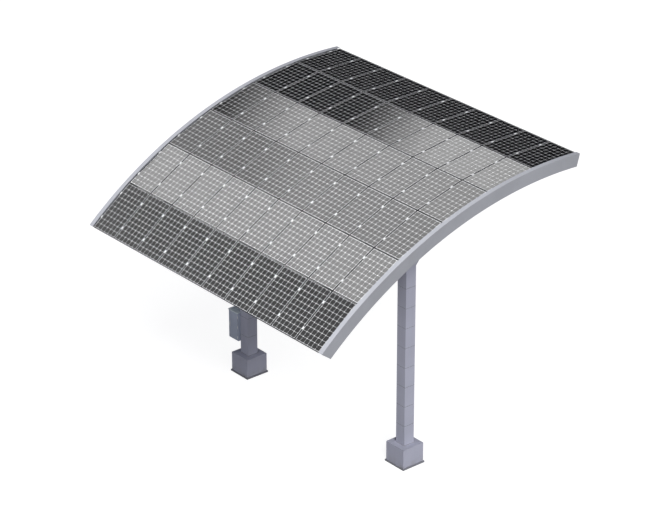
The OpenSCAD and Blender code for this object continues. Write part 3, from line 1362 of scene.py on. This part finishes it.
@dataclass
class CabinetFittings:
    """Door, hinges, lock, louvres, glands and drip edge of the electrical cabinet."""

    door_margin: float = 0.022
    door_lift: float = 0.005
    seal_width: float = 0.005
    hinges: int = 3
    hinge_leaf: Triple = (0.034, 0.070, 0.0075)
    hinge_radius: float = 0.007
    hinge_span: Span = (0.14, 0.86)
    handle_inset: float = 0.032
    handle_plate: Triple = (0.034, 0.150, 0.007)
    handle: Triple = (0.022, 0.128, 0.010)
    lock: Span = (0.009, 0.014)
    louvres: int = 7
    louvre_pitch: float = 0.022
    louvre_edge: float = 0.10
    louvre_share: float = 0.55
    gland_plate: Triple = (0.30, 0.13, 0.004)
    glands: int = 4
    gland_pitch: float = 0.065
    gland_lift: float = 0.0035
    gland_parts: tuple[tuple[float, float, int, float], ...] = (
        (0.019, 0.010, 6, 0.0015), (0.015, 0.026, 20, 0.003), (0.008, 0.029, 16, 0.001),
    )
    drip_thickness: float = 0.002
    drip_drop: float = 0.014
    cover: tuple[Vector, Vector] = field(init=False)
    body: tuple[Vector, Vector] = field(init=False)
    hood: tuple[Vector, Vector] = field(init=False)

    def build(self) -> None:
        """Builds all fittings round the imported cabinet."""
        self.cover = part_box("cabinet_cover")
        self.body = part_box("cabinet_body")
        self.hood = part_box("cabinet_hood")
        self.build_door()
        self.build_hardware()
        self.build_louvres()
        self.build_glands()
        self.build_drip()

    def front(self, x: float, z: float, out: float = 0.0) -> Matrix:
        """A place on the cover, with x along it, y up and z out of it."""
        return stand(Vector((x, self.cover[0].y - out, z)), -REARWARD, ACROSS)

    def build_door(self) -> None:
        """Builds the door leaf and the dark seal round it."""
        low, high = self.cover
        width, height = (size - 2 * self.door_margin for size in (high.x - low.x, high.z - low.z))
        place, lift = self.front((low.x + high.x) / 2, (low.z + high.z) / 2), self.door_lift
        shape = (
            (0, 0.006, -0.0005), (0, 0.006, lift - 0.0015), (0.003, 0.006, lift),
            (0.05, 0.012, lift), (0.056, 0.012, lift + 0.002),
        )
        door, seal = Solids(), Solids()
        rings = [(rectangle(width - less, height - less, corner), rise) for less, corner, rise in shape]
        door.loft(rings, place)
        door.piece("cabinet_door", CABINET_PAINT, Slot.CABINET)
        more, edge = 2 * self.seal_width, 0.0012
        outer = rectangle(width + more, height + more, 0.008)
        close = rectangle(width - 0.001, height - 0.001, 0.006)
        seal.loft([(outer, -edge), (outer, edge), (close, edge), (close, -edge)], place, closed=True)
        seal.piece("cabinet_seal", SEAL_RUBBER, Slot.JUNCTION)

    def build_hardware(self) -> None:
        """Builds the hinges on one side of the door and the lock on the other."""
        low, high = self.cover
        metal = Solids()
        x, length = high.x - self.door_margin / 2, self.hinge_leaf[1]
        for share in np.linspace(*self.hinge_span, self.hinges):
            z = low.z + (high.z - low.z) * float(share)
            metal.block(self.hinge_leaf, self.front(x - 0.008, z), edge=0.001, corner=0.003)
            pin = Vector((x + 0.004, low.y - 0.0095, z - length / 2))
            metal.rod(self.hinge_radius, length, Matrix.Translation(pin), sides=16)
        x = low.x + self.door_margin + self.handle_inset
        base = self.front(x, (low.z + high.z) / 2, self.door_lift)
        metal.block(self.handle_plate, base, edge=0.002, corner=0.008)
        metal.block(self.handle, shifted(base, 0, -0.004, 0.006), edge=0.003, corner=0.007)
        metal.rod(*self.lock, shifted(base, 0, 0.055, 0.004), sides=20, edge=0.0012)
        metal.piece("cabinet_hardware", FASTENER_ZINC, Slot.FASTENER)

    def build_louvres(self) -> None:
        """Builds the louvres on the cabinet's outer side."""
        low, high = self.body
        louvres = Solids()
        long = (high.y - low.y) * self.louvre_share
        shape = ((1, 0.014, 0.003, -0.0005), (0.98, 0.011, 0.003, 0.0035), (0.94, 0.005, 0.002, 0.0055))
        rings = [(rectangle(long * part, wide, corner), rise) for part, wide, corner, rise in shape]
        tall, edge = self.louvres * self.louvre_pitch, self.louvre_edge
        for base in (low.z + edge, high.z - edge - tall):
            for i in range(self.louvres):
                at = Vector((low.x, (low.y + high.y) / 2, base + i * self.louvre_pitch))
                louvres.loft(rings, stand(at, -ACROSS, -REARWARD))
        louvres.piece("cabinet_louvres", CABINET_PAINT, Slot.CABINET)

    def build_glands(self) -> None:
        """Builds the gland plate and glands under the cabinet."""
        low, high = self.body
        glands = Solids()
        middle = Vector(((low.x + high.x) / 2, (low.y + high.y) / 2, low.z))
        down = stand(middle, -UP, ACROSS)
        glands.block(self.gland_plate, down, edge=0.001, corner=0.006)
        for x in spaced(0, self.glands, self.gland_pitch):
            for radius, length, sides, edge in self.gland_parts:
                place = shifted(down, x, 0, self.gland_lift)
                glands.rod(radius, length, place, sides=sides, edge=edge)
        glands.piece("cabinet_glands", JUNCTION_PLASTIC, Slot.JUNCTION)

    def build_drip(self) -> None:
        """Builds the folded drip edge under the hood's front and outer side."""
        low, high = self.hood
        drip = Solids()
        thick, drop = self.drip_thickness, self.drip_drop
        for x, y, wide, deep in (
            ((low.x + high.x) / 2, low.y + thick / 2, high.x - low.x, thick),
            (low.x + thick / 2, (low.y + high.y) / 2, thick, high.y - low.y),
        ):
            at = Vector((x, y, low.z - drop))
            drip.block((wide, deep, drop + 0.001), Matrix.Translation(at), edge=0.0005)
        drip.piece("hood_drip", HOOD_PAINT, Slot.CABINET)


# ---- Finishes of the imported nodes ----


@dataclass
class PaintShop:
    """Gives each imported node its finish, and breaks the plain blocks' edges."""

    edge: float = 0.003
    weld: float = 0.0001
    blocks: tuple[str, ...] = (
        "footing_plinth", "footing", "cabinet_cover", "cabinet_hood", "cabinet_rails"
    )
    sides: dict[str, Finish] = field(default_factory=lambda: {
        "footing_plinth": PLINTH_PAINT, "footing": FOOTING_PAINT, "post_tube": TUBE_PRIMER,
        "post_cladding": POST_PAINT, "post_head": POST_PAINT, "girder": GIRDER_PAINT,
        "edge_channel": SHADED_CHANNEL_PAINT,
    })
    rows: dict[str, Finish] = field(default_factory=lambda: {
        "purlins": PURLIN_ZINC, "module_frames": BLACK_ANODIZED, "laminates": BACK_SHEET,
    })
    cabinet: dict[str, Finish] = field(default_factory=lambda: {
        "body": CABINET_PAINT, "cover": CABINET_PAINT, "hood": HOOD_PAINT, "rails": FITTING_ZINC,
    })

    def build(self) -> None:
        """Dresses every node."""
        for side in Side:
            for kind, finish in self.sides.items():
                self.dress(f"{kind}_{side.label}", finish)
        for number in ROWS:
            for kind, finish in self.rows.items():
                self.dress(f"{kind}_row_{number}", finish)
        for part, finish in self.cabinet.items():
            self.dress(f"cabinet_{part}", finish)

    def dress(self, node: str, finish: Finish) -> None:
        """Gives one node its finish, and a plain block a small bevel.

        Args:
            node: The node's name.
            finish: Its finish.
        """
        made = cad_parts[node]
        for slot in made.material_slots:
            slot.material = finish.material()
        if node.removesuffix("_left").removesuffix("_right") in self.blocks:
            weld = made.modifiers.new("weld", "WELD")
            weld.merge_threshold = self.weld
            bevel = made.modifiers.new("edge", "BEVEL")
            bevel.width = self.edge
            bevel.segments = 2
            bevel.limit_method = "ANGLE"
            bevel.harden_normals = True
        log.info("%s: %s", node, finish.name)


# ---- Studio ----


def hang(name: str, kind: str, power: float, back: Vector, **settings: float) -> bpy.types.Object:
    """Hangs a lamp.

    Args:
        name: Its name.
        kind: Its kind, by Blender's name for it.
        power: Its strength.
        back: The direction that it shines away from.
        **settings: Values for the lamp's own properties.

    Returns:
        The lamp.
    """
    data = bpy.data.lights.new(name, kind)
    data.energy = power
    for key, value in settings.items():
        setattr(data, key, value)
    lamp = bpy.data.objects.new(name, data)
    lamp.rotation_mode = "QUATERNION"
    lamp.rotation_quaternion = back.to_track_quat("Z", "Y")
    bpy.context.scene.collection.objects.link(lamp)
    log.info("%s hung", name)
    return lamp


@dataclass(frozen=True)
class Lamp:
    """A large soft lamp, far away, by its strength, direction and width."""

    name: str
    strength: float
    towards: Triple
    width: float

    def hang(self) -> None:
        """Hangs the lamp."""
        hang(self.name, "SUN", self.strength, Vector(self.towards), angle=self.width)


@dataclass(frozen=True)
class SoftBox:
    """A square soft box, by its power, place, the point it faces and its width."""

    name: str
    power: float
    at: Triple
    faces: Triple
    width: float

    def hang(self) -> None:
        """Hangs the soft box, out of sight."""
        back = Vector(self.at) - Vector(self.faces)
        lamp = hang(self.name, "AREA", self.power, back, size=self.width)
        lamp.location = self.at
        lamp.visible_camera = lamp.visible_glossy = False


@dataclass
class Studio:
    """Floor, lamps, surroundings and camera.

    Clear glass shows a studio of bright overhead panels with darker gaps between
    them and one dark wall. Each band pairs how far a ray is turned up from the rear
    horizon, in degrees, with a brightness.
    """

    floor_half: float = 500.0
    floor_tone: float = 0.30
    floor_glow: float = 0.90
    floor_gloss: float = 0.5
    lamps: tuple[Lamp, ...] = (
        Lamp("soft_key", 2.0, (0.73, -0.30, 0.635), math.radians(24)),
        Lamp("side_fill", 0.42, (1.0, 0.0, 0.28), math.radians(50)),
        Lamp("front_fill", 0.42, (0.3, -1.0, 0.27), math.radians(40)),
    )
    box: SoftBox = SoftBox("soft_box", 2460.0, (3.0, -12.0, 20.0), (0.0, 0.0, 7.0), 6.0)
    sky: Colour = (0.10, 0.106, 0.135)
    peak: float = 5.6
    panel_bands: Stops = (
        (0, 0.56), (60, 0.62), (84, 0.63), (91, 0.92), (101, 0.93),
        (108, 0.165), (125, 0.165), (150, 0.18), (180, 0.2),
    )
    dim_bands: Stops = ((70, 0.0), (75, 1.0), (84, 1.0), (90, 0.0))
    lift_bands: Stops = ((102, 0.0), (107, 1.0), (120, 1.0), (128, 0.0))
    dim: float = 1.5
    dim_edge: Span = (-0.722, -0.700)
    lift: float = 0.65
    lift_edge: Span = (-0.76, -0.64)
    wall_towards: Span = (0.927, 0.375)
    wall_edge: Span = (-0.451, -0.420)
    wall_tone: float = 0.008
    wall_top: Span = (66 / 180, 77 / 180)
    gap_at: float = -0.69
    gap_edge: Span = (0.14, 0.24)
    stand_at: Triple = (56.30, -47.10, 40.68)
    azimuth: float = math.radians(50.016)
    elevation: float = math.radians(25.866)
    lens: float = 154.94
    sensor: float = 36.0
    far: float = 2000.0

    def build(self) -> None:
        """Builds the studio."""
        self.lay_floor()
        for lamp in (*self.lamps, self.box):
            lamp.hang()
        self.paint_surroundings()
        self.set_camera()
        bpy.context.scene.view_settings.view_transform = "Standard"

    def lay_floor(self) -> None:
        """Lays a pale floor that keeps the carport's shadow and is clear from below."""
        mesh = bpy.data.meshes.new("floor")
        corners = [(x, y, 0.0) for x, y in square(self.floor_half)]
        mesh.from_pydata(corners, [], [(0, 1, 2, 3)])
        mesh.materials.append(self.mix_floor())
        floor = bpy.data.objects.new("floor", mesh)
        floor.location.z = -0.0005
        bpy.context.scene.collection.objects.link(floor)
        log.info("floor laid")

    def mix_floor(self) -> bpy.types.Material:
        """Mixes the floor's material.

        Returns:
            The material, which glows where it is seen and takes shadow.
        """
        material = bpy.data.materials.new("pale_floor")
        recipe = Recipe(material)
        path = recipe.add("ShaderNodeLightPath").outputs
        seen = recipe.math("MAXIMUM", path["Is Camera Ray"], path["Is Transmission Ray"])
        seen = recipe.times(seen, self.floor_glow)
        shine = recipe.times(path["Is Glossy Ray"], self.floor_gloss)
        light = {0: (1, 1, 1, 1), 1: recipe.math("MAXIMUM", seen, shine)}
        glow = recipe.add("ShaderNodeEmission", light).outputs[0]
        pale = recipe.add("ShaderNodeBsdfDiffuse", {0: (self.floor_tone,) * 3 + (1,)}).outputs[0]
        both = recipe.add("ShaderNodeAddShader", {0: pale, 1: glow}).outputs[0]
        clear = recipe.add("ShaderNodeBsdfTransparent").outputs[0]
        under = recipe.add("ShaderNodeNewGeometry").outputs["Backfacing"]
        either = recipe.add("ShaderNodeMixShader", {0: under, 1: both, 2: clear}).outputs[0]
        recipe.add("ShaderNodeOutputMaterial", {0: either})
        material.cycles.emission_sampling = "NONE"
        return material

    def paint_surroundings(self) -> None:
        """Makes even light all round, a white background, and panels for clear glass."""
        world = bpy.data.worlds.new("studio")
        bpy.context.scene.world = world
        recipe = Recipe(world)
        even, panels, white = (
            recipe.add("ShaderNodeBackground", {0: colour, 1: 1.0}).outputs[0]
            for colour in ((*self.sky, 1), self.mix_panels(recipe), (1, 1, 1, 1))
        )
        path = recipe.add("ShaderNodeLightPath").outputs
        clear = recipe.math("MAXIMUM", path["Is Camera Ray"], path["Is Transmission Ray"])
        mirror = recipe.times(path["Is Glossy Ray"], path["Is Singular Ray"])
        first = recipe.add("ShaderNodeMixShader", {0: clear, 1: even, 2: white}).outputs[0]
        last = recipe.add("ShaderNodeMixShader", {0: mirror, 1: first, 2: panels}).outputs[0]
        recipe.add("ShaderNodeOutputWorld", {0: last})
        log.info("surroundings painted")

    def mix_panels(self, recipe: Recipe) -> Socket:
        """Mixes what clear glass shows, by the direction of the ray.

        Args:
            recipe: The node tree to add to.

        Returns:
            The brightness of the panels.
        """
        times, spread = recipe.times, recipe.spread
        way = recipe.add("ShaderNodeTexCoord").outputs["Generated"]
        x, y, z = recipe.add("ShaderNodeSeparateXYZ", {0: way}).outputs
        turn = recipe.math("DIVIDE", recipe.math("ARCTAN2", z, y), math.pi)
        light = times(self.bands(recipe, turn, self.panel_bands), self.peak)
        left = times(spread(x, *self.dim_edge, 1, 0), self.dim)
        light = recipe.math("SUBTRACT", light, times(self.bands(recipe, turn, self.dim_bands), left))
        left = times(spread(x, *self.lift_edge, 1, 0), self.lift)
        light = recipe.math("ADD", light, times(self.bands(recipe, turn, self.lift_bands), left))
        across, up = self.wall_towards
        lean = recipe.math("ADD", times(x, across), times(z, up))
        wall = spread(lean, *self.wall_edge, self.wall_tone, 1)
        above = spread(turn, *self.wall_top, 0, 1)
        light = times(light, recipe.math("MAXIMUM", wall, above))
        aside = recipe.math("ABSOLUTE", recipe.math("SUBTRACT", x, self.gap_at))
        return recipe.mix(spread(aside, *self.gap_edge, 0, 1), light, (1, 1, 1))

    def bands(self, recipe: Recipe, turn: Socket, stops: Stops) -> Socket:
        """Brightness by how far a ray is turned up from the rear horizon.

        Args:
            recipe: The node tree to add to.
            turn: The turn as a share of a half turn.
            stops: Pairs of a turn in degrees and a brightness from 0 to 1.

        Returns:
            The brightness.
        """
        ramp = recipe.add("ShaderNodeValToRGB", {0: turn})
        elements = ramp.color_ramp.elements
        elements.remove(elements[-1])
        for i, (degrees, tone) in enumerate(stops):
            stop = elements[0] if i == 0 else elements.new(degrees / 180)
            stop.position = degrees / 180
            stop.color = (tone, tone, tone, 1)
        return ramp.outputs[0]

    def set_camera(self) -> None:
        """Sets up the camera."""
        data = bpy.data.cameras.new("camera")
        data.lens, data.sensor_width, data.clip_end = self.lens, self.sensor, self.far
        camera = bpy.data.objects.new("camera", data)
        camera.location = self.stand_at
        camera.rotation_euler = (math.pi / 2 - self.elevation, 0, self.azimuth)
        bpy.context.scene.collection.objects.link(camera)
        bpy.context.scene.camera = camera
        log.info("camera set")


def main() -> None:
    """Builds the carport's looks, piece by piece."""
    logging.basicConfig(level=logging.INFO, format="%(message)s")
    rows = [Row.measure(number) for number in ROWS]
    arc = Arc.through(rows)
    PaintShop().build()
    for row in rows:
        ModuleGlazing(row).build()
        ModuleClamps(row).build()
        JunctionBoxes(row).build()
    for side in Side:
        girder = Girder(side, arc)
        PurlinCleats(girder, rows).build()
        GirderFittings(girder).build()
        ChannelFittings(side, arc, rows).build()
        PostFittings(side).build()
        FootingFittings(side).build()
    CabinetFittings().build()
    Studio().build()


if __name__ == "__main__":
    main()
